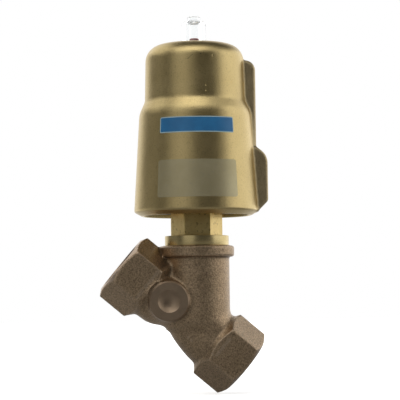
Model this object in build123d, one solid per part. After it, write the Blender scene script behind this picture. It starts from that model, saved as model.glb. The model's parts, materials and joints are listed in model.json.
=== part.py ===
from build123d import *
import os
from math import cos, radians, sin, sqrt, tan

# Angle seat valve with a spring-closed piston actuator. Units are millimetres.
# Everything is drawn about the point where the stem axis (Z) crosses the pipe axis, which leans in
# the XZ plane. On export it is moved, so that the origin is the centre of the inlet port's face.

# Pipe line
pipe_tilt = 40.0
inlet_reach = 29.2
outlet_reach = 48.8
port_hex_af = 32.0
port_hex_length = 18.9
port_hex_chamfer_r = 15.2
port_hex_chamfer_angle = 30.0
hex_overlap = 0.5
port_tap_r = 12.06
port_tap_depth = 16.0
passage_r = 9.5
outlet_bend_reach = 21.0
inlet_bend_reach = 1.0

# Body casting
neck_r = 15.8
neck_foot_z = 1.0
neck_foot_round = 3.0
body_top_z = 40.1
rim_step = 2.4
rim_height = 5.4
rim_round = 1.2
chamber_wall = 3.4
chamber_floor_z = 4.0
cross_passage_r = 8.5
seat_r = 9.0
seat_lip_wall = 1.6
seat_z = 6.0
outlet_horn_reach = 11.9
inlet_horn_reach = 10.7
clamp_boss_r = 9.6
clamp_boss_reach = 17.0
clamp_boss_draft = 0.8
clamp_dimple_r = 5.5
clamp_dimple_depth = 4.2

# The two branches of the casting, as (radius, share of the way from the hexagon to the neck)
outlet_horn_outline = ((15.3, 0.0), (13.8, 0.28), (12.6, 0.62), (10.3, 0.84), (8.7, 1.0))
inlet_horn_outline = ((15.2, 0.0), (14.0, 0.2), (12.6, 0.4), (11.3, 0.65), (8.2, 1.0))

# Bonnet, screwed into the body and carrying the actuator
bonnet_thread_step = 1.1
bonnet_thread_depth = 14.7
thread_gap = 0.05
gasket_thickness = 0.6
nose_gap = 0.3
nose_length = 1.7
collar_step = 2.15
collar_height = 4.9
neck_hex_af = 22.0
neck_hex_length = 12.9
base_disc_step = 0.85
base_disc_thickness = 5.0
base_ring_section_r = 0.95
packing_bore_r = 7.5
packing_web = 4.0
packing_gap = 0.05
gland_nut_length = 4.0
gland_slot_width = 2.4
gland_slot_depth = 1.5
wiper_r = 6.0
wiper_length = 1.5
support_ring_length = 1.7
chevron_count = 5
chevron_pitch = 1.3
chevron_rise = 1.2
header_ring_length = 1.7
packing_washer_length = 1.0
packing_wire_r = 0.6
packing_turns = 3.5
bush_r = 5.5
bush_length = 9.0
rod_seal_r = 6.5
rod_seal_length = 3.2
rod_seal_recess = 0.7

# Stem
spindle_r = 4.0
running_gap = 0.05
loose_gap = 0.3
stroke = 7.0
spindle_foot_r = 5.2
spindle_foot_length = 2.8
spindle_thread_r = 3.0
spindle_thread_length = 18.5

# Valve plug
disc_overhang = 0.2
disc_seal_thickness = 3.0
disc_plate_thickness = 2.0
disc_barrel_r = 7.2
disc_barrel_length = 5.8
disc_ring_thickness = 1.0
disc_ring_wall = 1.9
disc_ring_bite = 0.6
clamp_washer_r = 7.5
clamp_washer_thickness = 1.4
disc_nut_af = 10.0
disc_nut_length = 3.0
disc_stud_r = 3.0

# Piston
piston_bore_r = 25.0
piston_rest_rise = 5.0
piston_gap = 0.3
piston_web = 7.0
piston_skirt = 4.0
piston_skirt_wall = 2.7
piston_hub_r = 7.5
piston_hub_rise = 3.0
piston_seal_width = 3.2
piston_seal_depth = 3.4
piston_seal_lip = 1.1
guide_ring_width = 2.6
guide_ring_depth = 1.2
seal_shoulder = 1.5
stem_ring_section_r = 0.6
piston_washer_r = 6.2
piston_washer_thickness = 1.2
piston_nut_af = 10.0
piston_nut_length = 5.0

# Actuator housing, a drafted casting that turns on the bonnet
housing_height = 84.2
foot_land = 0.9
foot_bevel_rise = 2.1
foot_wall = 4.6
skirt_height = 50.2
skirt_wall = 2.5
shoulder_rise = 6.2
crown_foot_wall = 3.2
crown_wall = 2.5
crown_round = 8.0
housing_top_wall = 5.5
recess_gap = 0.05
recess_depth = 8.2
recess_face_gap = 0.1
bore_end_drop = 2.0
spring_room_drop = 2.7
spring_room_step = 3.5
spring_room_round = 2.0
retaining_ring_height = 1.1
retaining_ring_play = 0.1
retaining_ring_bite = 1.0
retaining_ring_shelf = 1.45
retaining_ring_clearance = 0.2
retaining_ring_opening = 24.0

# Air ports and the rib that holds the vent channel
boss_rise = 4.1
boss_width = 18.0
boss_cover = 4.4
boss_slope_rise = 4.0
boss_bevel = 4.8
boss_round = 2.5
rib_rise = 1.9
rib_width = 14.0
rib_top_round = 5.0
rib_overlap = 14.0
rib_root_cover = 0.5
air_tap_r = 4.4
air_tap_depth = 7.6
air_countersink = 0.6
pilot_rise = 3.0
port_pitch = 13.6
air_channel_r = 1.4
vent_channel_cover = 2.1
vent_channel_drop = 13.0

# Springs
spring_plate_gap = 0.1
spring_plate_overlap = 2.3
spring_plate_thickness = 1.5
outer_spring_gap = 2.2
outer_wire_r = 1.5
outer_turns = 8
inner_spring_gap = 3.6
inner_wire_r = 1.2
inner_turns = 10

# Position indicator
indicator_r = 2.4
indicator_show = 3.3
indicator_flange_r = 5.0
indicator_flange_length = 4.3
indicator_edge_round = 0.6
cap_step = 1.9
cap_shoulder_round = 2.0
cap_thread_wall = 1.1
cap_thread_length = 4.5
indicator_side_gap = 0.5
cap_head_room = 0.9
cap_roof = 0.7
cap_slot_width = 1.2
cap_crown_step = 2.7
cap_crown_rise = 2.5
cap_ring_section_r = 0.5

# Label foil and painted band on the housing's front
print_azimuth = -93.0
label_span = 81.0
label_rise = 7.9
label_height = 17.9
label_thickness = 0.12
band_span = 77.0
band_gap = 12.9
band_height = 7.6
band_thickness = 0.08
glue_thickness = 0.02

# Places worked out from the sizes above
tilt = radians(pipe_tilt)
inlet_face = Vector(inlet_reach * cos(tilt), 0, -inlet_reach * sin(tilt))
pipe_line = Plane(origin=(0, 0, 0), x_dir=(sin(tilt), 0, cos(tilt)), z_dir=(cos(tilt), 0, -sin(tilt)))
outlet_hex_inner = port_hex_length - outlet_reach
inlet_hex_inner = inlet_reach - port_hex_length
rim_r = neck_r + rim_step
rim_low_z = body_top_z - rim_height
chamber_r = neck_r - chamber_wall
bonnet_thread_r = chamber_r + bonnet_thread_step
collar_r = bonnet_thread_r + collar_step
gasket_low_z = body_top_z - bonnet_thread_depth
gasket_top_z = gasket_low_z + gasket_thickness
nose_low_z = gasket_top_z - nose_length
collar_top_z = body_top_z + collar_height
base_disc_low_z = collar_top_z + neck_hex_length
base_disc_top_z = base_disc_low_z + base_disc_thickness
base_ring_z = base_disc_low_z + base_disc_thickness / 2
base_disc_r = piston_bore_r + base_disc_step
bush_low_z = base_disc_top_z - rod_seal_recess - rod_seal_length - bush_length
packing_top_z = bush_low_z - packing_web
shaft_hole_r = spindle_r + running_gap
thread_fit_r = spindle_thread_r + thread_gap
stud_fit_r = disc_stud_r + thread_gap
disc_r = seat_r + seat_lip_wall + disc_overhang
disc_seal_top_z = seat_z + disc_seal_thickness
disc_plate_top_z = disc_seal_top_z + disc_plate_thickness
disc_barrel_top_z = disc_plate_top_z + disc_barrel_length
disc_socket_r = spindle_foot_r + loose_gap
disc_ring_low_z = disc_plate_top_z + spindle_foot_length + loose_gap
clamp_washer_low_z = seat_z - clamp_washer_thickness
disc_nut_low_z = clamp_washer_low_z - disc_nut_length
recess_r = base_disc_r + recess_gap
recess_top_z = base_disc_top_z + recess_face_gap
housing_foot_z = recess_top_z - recess_depth
housing_top_z = housing_foot_z + housing_height
foot_r = recess_r + foot_wall
spring_room_r = piston_bore_r - spring_room_step
shoulder_low_z = housing_foot_z + skirt_height
shoulder_low_r = piston_bore_r + skirt_wall
shoulder_high_z = shoulder_low_z + shoulder_rise
shoulder_high_r = spring_room_r + crown_foot_wall
crown_r = spring_room_r + crown_wall
bore_top_z = shoulder_low_z - bore_end_drop
spring_room_low_z = shoulder_high_z - spring_room_drop
spring_room_top_z = housing_top_z - housing_top_wall
retaining_ring_inner_r = base_disc_r - retaining_ring_shelf
retaining_groove_height = retaining_ring_height + retaining_ring_play
retaining_groove_z = base_disc_low_z - retaining_ring_clearance - retaining_groove_height
piston_low_z = recess_top_z + piston_rest_rise
piston_r = piston_bore_r - piston_gap
seal_run_r = piston_bore_r - running_gap
spring_seat_z = piston_low_z + piston_web
piston_rim_z = spring_seat_z + piston_skirt
piston_hub_top_z = spring_seat_z + piston_hub_rise
piston_nut_low_z = piston_hub_top_z + piston_washer_thickness
piston_nut_top_z = piston_nut_low_z + piston_nut_length
spindle_top_z = piston_low_z + spindle_thread_length
pilot_z = recess_top_z + pilot_rise
vent_z = pilot_z + port_pitch
boss_reach = foot_r + boss_rise
boss_low_z = housing_foot_z + foot_bevel_rise
boss_shoulder_z = vent_z + boss_cover
boss_top_z = boss_shoulder_z + boss_slope_rise
rib_reach = shoulder_low_r + rib_rise
rib_root_reach = spring_room_r + rib_root_cover
rib_foot_z = boss_shoulder_z - rib_overlap
rib_top_z = housing_top_z - crown_round
vent_channel_reach = rib_reach - vent_channel_cover
vent_channel_top_z = rib_top_z - vent_channel_drop
spring_top_z = spring_room_top_z - spring_plate_thickness
outer_spring_r = spring_room_r - outer_wire_r - outer_spring_gap
inner_spring_r = outer_spring_r - outer_wire_r - inner_wire_r - inner_spring_gap
spring_plate_r = spring_room_r - spring_room_round - spring_plate_gap
spring_plate_inner_r = inner_spring_r - inner_wire_r - spring_plate_overlap
indicator_top_z = housing_top_z + indicator_show
cap_bore_r = indicator_r + indicator_side_gap
cap_thread_r = cap_bore_r + cap_thread_wall
cap_r = cap_thread_r + cap_step
cap_crown_r = cap_r - cap_crown_step
cap_ring_seat_r = cap_thread_r + 2 * cap_ring_section_r
cap_inner_top_z = indicator_top_z + stroke + cap_head_room
cap_shoulder_z = cap_inner_top_z + cap_roof
label_low_z = housing_foot_z + label_rise
label_high_z = label_low_z + label_height
band_low_z = label_high_z + band_gap
band_high_z = band_low_z + band_height


def turned(*outline):
    """A body of revolution about the stem axis, from (radius, height) points."""
    face = make_face(Polyline(*[(r, 0, z) for r, z in outline], close=True))
    return revolve(face, Axis.Z)


def ring(inner_r, outer_r, low_z, high_z):
    """A plain ring about the stem axis."""
    return turned((inner_r, low_z), (outer_r, low_z), (outer_r, high_z), (inner_r, high_z))


def rod(r, low_z, high_z):
    """A plain round bar about the stem axis."""
    return Pos(0, 0, low_z) * Cylinder(r, high_z - low_z, align=(Align.CENTER, Align.CENTER, Align.MIN))


def o_ring(mean_r, section_r, z):
    """An O-ring about the stem axis."""
    return Pos(0, 0, z) * Torus(mean_r, section_r)


def hexagon(across_flats, low_z, high_z):
    """A hexagonal bar about the stem axis, with two flats facing +Y and -Y."""
    outline = RegularPolygon(across_flats / 2, 6, major_radius=False)
    return Pos(0, 0, low_z) * extrude(outline, high_z - low_z)


def nut(across_flats, hole_r, low_z, high_z):
    """A hexagon nut about the stem axis."""
    return hexagon(across_flats, low_z, high_z) - rod(hole_r, low_z, high_z)


def coil(mean_r, wire_r, low_z, high_z, turns):
    """A compression spring that just fills the height between two seats."""
    rise = high_z - low_z - 2 * wire_r
    path = Helix(pitch=rise / turns, height=rise, radius=mean_r, center=(0, 0, low_z + wire_r))
    section = Plane(origin=path @ 0, z_dir=path % 0) * Circle(wire_r)
    return sweep(section, path=path, is_frenet=True)


def on_pipe(solid):
    """Carries a solid drawn about Z onto the pipe axis, towards the inlet."""
    return pipe_line * solid


def port_hex(inner, outer):
    """The chamfered wrench hexagon round a port, between two places along the pipe axis."""
    corner_r = port_hex_af / sqrt(3)
    slope = (corner_r - port_hex_chamfer_r) * tan(radians(port_hex_chamfer_angle))
    low, high = min(inner, outer), max(inner, outer)
    bar = turned(
        (0, low),
        (port_hex_chamfer_r, low),
        (corner_r, low + slope),
        (corner_r, high - slope),
        (port_hex_chamfer_r, high),
        (0, high),
    )
    return hexagon(port_hex_af, low, high) & bar


def port_bore(face, side):
    """The tapped hole of a port; side is the way its mouth looks."""
    bottom = face - side * port_tap_depth
    return rod(port_tap_r, min(bottom, face), max(bottom, face))


def horn(outline, root, end):
    """A rounded, tapering branch of the casting, between two places along the pipe axis."""
    flank = Spline(*[(r, 0, root + share * (end - root)) for r, share in outline])
    back = Polyline(flank @ 1, (0, 0, end), (0, 0, root), flank @ 0)
    return revolve(make_face([flank, back]), Axis.Z)


def clamp_boss(side):
    """The boss with a centre dimple in which the casting is held for machining."""
    place = -outlet_bend_reach
    centre = (place * cos(tilt), 0, -place * sin(tilt))
    facing = Plane(origin=centre, x_dir=(1, 0, 0), z_dir=(0, side, 0))
    boss = Cone(
        clamp_boss_r + clamp_boss_draft,
        clamp_boss_r,
        clamp_boss_reach,
        align=(Align.CENTER, Align.CENTER, Align.MIN),
    )
    return facing * boss


def clamp_dimple(side):
    """The conical centre in a clamp boss."""
    place = -outlet_bend_reach
    mouth = (place * cos(tilt), side * clamp_boss_reach, -place * sin(tilt))
    facing = Plane(origin=mouth, x_dir=(1, 0, 0), z_dir=(0, side, 0))
    cone = Cone(0, clamp_dimple_r, clamp_dimple_depth, align=(Align.CENTER, Align.CENTER, Align.MAX))
    return facing * cone


def valve_body():
    """The bronze casting: two threaded ports, the neck for the bonnet and the seat between them."""
    outside = rod(neck_r, neck_foot_z, body_top_z)
    outside = fillet(outside.edges().sort_by(Axis.Z)[0], neck_foot_round)
    rim = rod(rim_r, rim_low_z, body_top_z)
    outside += fillet(rim.edges().filter_by(GeomType.CIRCLE), rim_round)
    outside += on_pipe(horn(outlet_horn_outline, outlet_hex_inner - hex_overlap, -outlet_horn_reach))
    outside += on_pipe(horn(inlet_horn_outline, inlet_hex_inner + hex_overlap, -inlet_horn_reach))
    outside += on_pipe(port_hex(outlet_hex_inner, -outlet_reach))
    outside += on_pipe(port_hex(inlet_hex_inner, inlet_reach))
    outside += clamp_boss(-1)
    outside += clamp_boss(1)

    hollow = rod(chamber_r, chamber_floor_z, body_top_z)
    hollow -= ring(seat_r, seat_r + seat_lip_wall, chamber_floor_z, seat_z)
    hollow += rod(bonnet_thread_r, gasket_low_z, body_top_z)
    hollow += rod(seat_r, neck_foot_z - seat_r / 2, chamber_floor_z)
    bend = Vector(-outlet_bend_reach * cos(tilt), 0, outlet_bend_reach * sin(tilt))
    hollow += Pos(bend) * Sphere(passage_r)
    cross = Plane(origin=bend, x_dir=(0, 1, 0), z_dir=(1, 0, 0))
    hollow += cross * Cylinder(cross_passage_r, -bend.X, align=(Align.CENTER, Align.CENTER, Align.MIN))
    hollow += on_pipe(rod(passage_r, -outlet_reach, -outlet_bend_reach))
    hollow += on_pipe(rod(passage_r, inlet_bend_reach, inlet_reach))
    hollow += on_pipe(Pos(0, 0, inlet_bend_reach) * Sphere(passage_r))
    hollow += on_pipe(port_bore(-outlet_reach, -1))
    hollow += on_pipe(port_bore(inlet_reach, 1))
    return outside - hollow - clamp_dimple(-1) - clamp_dimple(1)


def bonnet():
    """The turned brass screw-in part: nose, thread, collar, wrench hexagon and actuator disc."""
    solid = turned(
        (0, nose_low_z),
        (chamber_r - nose_gap, nose_low_z),
        (chamber_r - nose_gap, gasket_top_z),
        (bonnet_thread_r - thread_gap, gasket_top_z),
        (bonnet_thread_r - thread_gap, body_top_z),
        (0, body_top_z),
    )
    solid += rod(collar_r, body_top_z, collar_top_z)
    solid += hexagon(neck_hex_af, collar_top_z, base_disc_low_z)
    solid += rod(base_disc_r, base_disc_low_z, base_disc_top_z)
    groove_r = base_disc_r - 2 * base_ring_section_r - running_gap
    groove_half = base_ring_section_r + running_gap
    solid -= ring(groove_r, base_disc_r + 1, base_ring_z - groove_half, base_ring_z + groove_half)
    solid -= rod(packing_bore_r, nose_low_z, packing_top_z)
    solid -= rod(spindle_r + loose_gap, packing_top_z, bush_low_z)
    solid -= rod(bush_r, bush_low_z, base_disc_top_z)
    solid -= rod(rod_seal_r, bush_low_z + bush_length, base_disc_top_z)
    return solid


def gland_nut():
    """The slotted screw ring that closes the packing chamber from below."""
    high_z = nose_low_z + gland_nut_length
    nut = ring(spindle_r + loose_gap, packing_bore_r - packing_gap, nose_low_z, high_z)
    nut -= rod(wiper_r, nose_low_z, nose_low_z + wiper_length)
    slot = Box(
        2 * packing_bore_r,
        gland_slot_width,
        gland_slot_depth,
        align=(Align.CENTER, Align.CENTER, Align.MIN),
    )
    return nut - Pos(0, 0, nose_low_z) * slot


def chevron(low_z):
    """One V-shaped packing ring, open towards the pressure below."""
    outer_r = packing_bore_r - packing_gap
    middle_r = (shaft_hole_r + outer_r) / 2
    high_z = low_z + chevron_pitch - packing_gap
    return turned(
        (shaft_hole_r, low_z),
        (middle_r, low_z + chevron_rise),
        (outer_r, low_z),
        (outer_r, high_z),
        (middle_r, high_z + chevron_rise),
        (shaft_hole_r, high_z),
    )


def spindle():
    """The stainless stem: foot, running shaft and the thread that carries the piston."""
    stem = rod(spindle_foot_r, disc_plate_top_z, disc_plate_top_z + spindle_foot_length)
    stem += rod(spindle_r, disc_plate_top_z, piston_low_z)
    thread = rod(spindle_thread_r, piston_low_z, spindle_top_z)
    return stem + chamfer(thread.edges().sort_by(Axis.Z)[-1], spindle_thread_r / 6)


def valve_disc():
    """The plug that hangs on the spindle's foot: plate, socket above and stud below."""
    plug = rod(disc_r, disc_seal_top_z, disc_plate_top_z)
    plug += rod(disc_barrel_r, disc_plate_top_z, disc_barrel_top_z)
    plug += rod(disc_stud_r, disc_nut_low_z, disc_seal_top_z)
    plug -= rod(disc_socket_r, disc_plate_top_z, disc_barrel_top_z)
    groove_r = disc_socket_r + disc_ring_bite
    groove_high_z = disc_ring_low_z + disc_ring_thickness + running_gap
    return plug - rod(groove_r, disc_ring_low_z, groove_high_z)


def disc_retainer():
    """The open wire ring that keeps the spindle's foot in the plug's socket."""
    outer_r = disc_socket_r + disc_ring_bite - running_gap
    high_z = disc_ring_low_z + disc_ring_thickness
    full = ring(outer_r - disc_ring_wall + thread_gap, outer_r, disc_ring_low_z, high_z)
    return full - Pos(outer_r, 0, disc_ring_low_z) * Box(outer_r, disc_ring_wall, 3 * disc_ring_thickness)


def piston():
    """The aluminium piston: web, skirt and the hub that the nut clamps."""
    skirt_r = piston_r - piston_skirt_wall
    solid = turned(
        (thread_fit_r, piston_low_z),
        (piston_r, piston_low_z),
        (piston_r, piston_rim_z),
        (skirt_r, piston_rim_z),
        (skirt_r, spring_seat_z),
        (piston_hub_r, spring_seat_z),
        (piston_hub_r, piston_hub_top_z),
        (thread_fit_r, piston_hub_top_z),
    )
    seal_low_z = piston_low_z + seal_shoulder
    solid -= ring(piston_r - piston_seal_depth, piston_r + 1, seal_low_z, seal_low_z + piston_seal_width)
    guide_low_z = piston_rim_z - guide_ring_width - piston_washer_thickness
    solid -= ring(piston_r - guide_ring_depth, piston_r + 1, guide_low_z, guide_low_z + guide_ring_width)
    ring_room = spindle_thread_r + 2 * stem_ring_section_r + thread_gap
    ring_room_z = piston_low_z + 2 * stem_ring_section_r + thread_gap
    return solid - rod(ring_room, piston_low_z, ring_room_z)


def piston_seal():
    """The lip seal of the piston, open towards the pressure below."""
    low_z = piston_low_z + seal_shoulder + running_gap
    high_z = low_z + piston_seal_width - 2 * running_gap
    inner_r = piston_r - piston_seal_depth + running_gap
    return turned(
        (inner_r, low_z),
        (inner_r + piston_seal_lip, low_z),
        ((inner_r + seal_run_r) / 2, low_z + piston_seal_width / 2),
        (seal_run_r - piston_seal_lip, low_z),
        (seal_run_r, low_z),
        (seal_run_r, low_z + piston_seal_lip),
        (seal_run_r - piston_gap, high_z),
        (inner_r, high_z),
    )


def guide_ring():
    """The split bearing ring round the piston's skirt."""
    low_z = piston_rim_z - guide_ring_width - piston_washer_thickness + running_gap
    high_z = low_z + guide_ring_width - 2 * running_gap
    return ring(piston_r - guide_ring_depth + running_gap, seal_run_r, low_z, high_z)


def housing_outline():
    """The outer surface of the actuator housing, filled, without boss and rib."""
    solid = turned(
        (0, housing_foot_z),
        (recess_r + foot_land, housing_foot_z),
        (foot_r, housing_foot_z + foot_bevel_rise),
        (shoulder_low_r, shoulder_low_z),
        (shoulder_high_r, shoulder_high_z),
        (crown_r, housing_top_z),
        (0, housing_top_z),
    )
    return fillet(solid.edges().sort_by(Axis.Z)[-1], crown_round)


def air_boss():
    """The block on the housing's side that holds the two air ports."""
    side = make_face(
        Polyline(
            (rib_root_reach, 0, boss_low_z),
            (boss_reach - boss_bevel, 0, boss_low_z),
            (boss_reach, 0, boss_low_z + boss_bevel),
            (boss_reach, 0, boss_shoulder_z),
            (rib_reach, 0, boss_top_z),
            (rib_root_reach, 0, boss_top_z),
            close=True,
        )
    )
    block = extrude(side, boss_width / 2, dir=(0, 1, 0), both=True)
    crest = block.edges().filter_by(Axis.Y).group_by(Axis.X)[-1].sort_by(Axis.Z)[-1]
    return fillet(crest, boss_round)


def vent_rib():
    """The raised rib that leads the vent channel up to the spring room."""
    block = Pos((rib_root_reach + rib_reach) / 2, 0, (rib_foot_z + rib_top_z) / 2) * Box(
        rib_reach - rib_root_reach, rib_width, rib_top_z - rib_foot_z
    )
    crest = block.edges().filter_by(Axis.Y).group_by(Axis.X)[-1].sort_by(Axis.Z)[-1]
    return fillet(crest, rib_top_round)


def air_port(z):
    """A tapped air port in the boss, with its countersink and the hole at its bottom."""
    facing = Plane(origin=(boss_reach, 0, z), x_dir=(0, 1, 0), z_dir=(1, 0, 0))
    hole = Cylinder(air_tap_r, air_tap_depth, align=(Align.CENTER, Align.CENTER, Align.MAX))
    mouth = Cone(
        air_tap_r,
        air_tap_r + air_countersink,
        air_countersink,
        align=(Align.CENTER, Align.CENTER, Align.MAX),
    )
    return facing * (hole + mouth)


def level_channel(z, inner_reach):
    """A small drilled hole from the boss side to a place nearer the stem axis."""
    facing = Plane(origin=(inner_reach, 0, z), x_dir=(0, 1, 0), z_dir=(1, 0, 0))
    length = vent_channel_reach - inner_reach
    return facing * Cylinder(air_channel_r, length, align=(Align.CENTER, Align.CENTER, Align.MIN))


def actuator_housing():
    """The brass cylinder casting: piston bore, spring room, swivel recess, air ports and rib."""
    solid = housing_outline() + air_boss() + vent_rib()
    room = turned(
        (0, recess_top_z),
        (piston_bore_r, recess_top_z),
        (piston_bore_r, bore_top_z),
        (spring_room_r, spring_room_low_z),
        (spring_room_r, spring_room_top_z),
        (0, spring_room_top_z),
    )
    solid -= fillet(room.edges().sort_by(Axis.Z)[-1], spring_room_round)
    solid -= rod(recess_r, housing_foot_z, recess_top_z)
    groove_top_z = retaining_groove_z + retaining_groove_height
    solid -= rod(recess_r + retaining_ring_bite, retaining_groove_z, groove_top_z)
    solid -= air_port(pilot_z)
    solid -= air_port(vent_z)
    solid -= level_channel(pilot_z, piston_bore_r - 1)
    solid -= level_channel(vent_channel_top_z, spring_room_r - 1)
    solid -= Pos(vent_channel_reach, 0, vent_z) * Cylinder(
        air_channel_r,
        vent_channel_top_z + air_channel_r - vent_z,
        align=(Align.CENTER, Align.CENTER, Align.MIN),
    )
    solid -= rod(cap_thread_r, spring_room_top_z, housing_top_z)
    return solid - rod(cap_ring_seat_r + thread_gap, housing_top_z - 2 * cap_ring_section_r, housing_top_z)


def retaining_ring():
    """The open spring ring that holds the housing on the bonnet's disc."""
    low_z = retaining_groove_z + retaining_ring_play / 2
    high_z = low_z + retaining_ring_height
    outer_r = recess_r + retaining_ring_bite - thread_gap
    full = ring(retaining_ring_inner_r, outer_r, low_z, high_z)
    opening = 2 * outer_r * tan(radians(retaining_ring_opening / 2))
    return full - Pos(-outer_r, 0, low_z) * Box(outer_r, opening, 3 * retaining_ring_height)


def indicator_rod():
    """The coloured rod on the spindle's end that rises into the clear cap."""
    flange_top_z = piston_nut_top_z + indicator_flange_length
    solid = rod(indicator_flange_r, piston_nut_top_z, flange_top_z)
    pin = rod(indicator_r, flange_top_z, indicator_top_z)
    solid += fillet(pin.edges().sort_by(Axis.Z)[-1], indicator_edge_round)
    return solid - rod(thread_fit_r, piston_nut_top_z, spindle_top_z)


def indicator_cap():
    """The clear screw-in cap over the indicator rod, with a slotted crown."""
    shell = rod(cap_r, housing_top_z, cap_shoulder_z)
    shell = fillet(shell.edges().sort_by(Axis.Z)[-1], cap_shoulder_round)
    crown = rod(cap_crown_r, cap_shoulder_z, cap_shoulder_z + cap_crown_rise)
    slot = Box(
        2 * cap_crown_r,
        cap_slot_width,
        cap_crown_rise,
        align=(Align.CENTER, Align.CENTER, Align.MIN),
    )
    shell += crown - Pos(0, 0, cap_shoulder_z) * slot
    shell += rod(cap_thread_r - thread_gap, housing_top_z - cap_thread_length, housing_top_z)
    return shell - rod(cap_bore_r, housing_top_z - cap_thread_length, cap_inner_top_z)


def housing_r(z):
    """The housing's outer radius at a height on its drafted lower wall."""
    foot_z = housing_foot_z + foot_bevel_rise
    return foot_r + (shoulder_low_r - foot_r) * (z - foot_z) / (shoulder_low_z - foot_z)


def wall_film(low_z, high_z, span, thickness):
    """A thin film on the drafted wall, centred on the housing's front."""
    low_r, high_r = housing_r(low_z) + glue_thickness, housing_r(high_z) + glue_thickness
    section = make_face(
        Polyline(
            (low_r, 0, low_z),
            (low_r + thickness, 0, low_z),
            (high_r + thickness, 0, high_z),
            (high_r, 0, high_z),
            close=True,
        )
    )
    return Rot(0, 0, print_azimuth - span / 2) * revolve(section, Axis.Z, span)


def write(node, solid):
    """Moves a piece to the part's own origin and writes it to its file."""
    export_step(Pos(-inlet_face) * solid, os.path.join("parts", node + ".step"))


os.makedirs("parts", exist_ok=True)

support_low_z = nose_low_z + gland_nut_length
chevron_low_z = support_low_z + support_ring_length
header_low_z = chevron_low_z + chevron_count * chevron_pitch + chevron_rise
packing_spring_low_z = header_low_z + header_ring_length
packing_washer_low_z = packing_top_z - packing_washer_length
packing_r = packing_bore_r - packing_gap
packing_spring_r = (shaft_hole_r + packing_r) / 2

write("valve_body", valve_body())
write("bonnet", bonnet())
write("bonnet_gasket", ring(chamber_r, bonnet_thread_r - thread_gap, gasket_low_z, gasket_top_z))
write("gland_nut", gland_nut())
write("rod_wiper", ring(shaft_hole_r, wiper_r - packing_gap, nose_low_z, nose_low_z + wiper_length))
write("packing_support_ring", ring(shaft_hole_r, packing_r, support_low_z, chevron_low_z))
chevrons = [chevron(chevron_low_z + index * chevron_pitch) for index in range(chevron_count)]
write("chevron_rings", Compound(children=chevrons))
write("packing_header_ring", ring(shaft_hole_r, packing_r, header_low_z, packing_spring_low_z))
write(
    "packing_spring",
    coil(packing_spring_r, packing_wire_r, packing_spring_low_z, packing_washer_low_z, packing_turns),
)
write("packing_spring_washer", ring(shaft_hole_r, packing_r, packing_washer_low_z, packing_top_z))
write("spindle_bush", ring(shaft_hole_r, bush_r - thread_gap, bush_low_z, bush_low_z + bush_length))
rod_seal_low_z = bush_low_z + bush_length
rod_seal_top_z = rod_seal_low_z + rod_seal_length
write("rod_seal", ring(shaft_hole_r, rod_seal_r - thread_gap, rod_seal_low_z, rod_seal_top_z))
write("base_o_ring", o_ring(base_disc_r - base_ring_section_r, base_ring_section_r, base_ring_z))

write("spindle", spindle())
write("piston", piston())
write("piston_seal", piston_seal())
write("piston_guide_ring", guide_ring())
stem_ring_r = thread_fit_r + stem_ring_section_r - thread_gap / 2
stem_ring_z = piston_low_z + stem_ring_section_r
write("piston_o_ring", o_ring(stem_ring_r, stem_ring_section_r - thread_gap / 4, stem_ring_z))
write("piston_washer", ring(thread_fit_r, piston_washer_r, piston_hub_top_z, piston_nut_low_z))
write("piston_nut", nut(piston_nut_af, thread_fit_r, piston_nut_low_z, piston_nut_top_z))
write("indicator_rod", indicator_rod())

write("valve_disc", valve_disc())
write("disc_seal", ring(stud_fit_r, disc_r, seat_z, disc_seal_top_z))
write("disc_clamp_washer", ring(stud_fit_r, clamp_washer_r, clamp_washer_low_z, seat_z))
write("disc_nut", nut(disc_nut_af, stud_fit_r, disc_nut_low_z, clamp_washer_low_z))
write("disc_retainer_ring", disc_retainer())

write("actuator_housing", actuator_housing())
write("retaining_ring", retaining_ring())
write("main_spring_outer", coil(outer_spring_r, outer_wire_r, spring_seat_z, spring_top_z, outer_turns))
write("main_spring_inner", coil(inner_spring_r, inner_wire_r, spring_seat_z, spring_top_z, inner_turns))
write("spring_plate", ring(spring_plate_inner_r, spring_plate_r, spring_top_z, spring_room_top_z))
write("indicator_cap", indicator_cap())
cap_ring_r = cap_thread_r + cap_ring_section_r
write("indicator_cap_o_ring", o_ring(cap_ring_r, cap_ring_section_r, housing_top_z - cap_ring_section_r))
write("data_label", wall_film(label_low_z, label_high_z, label_span, label_thickness))
write("colour_band", wall_film(band_low_z, band_high_z, band_span, band_thickness))
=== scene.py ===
import json
from math import cos, pi, radians, sin, sqrt

import bpy
import numpy as np
import openvdb
from mathutils import Matrix, Vector


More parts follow.
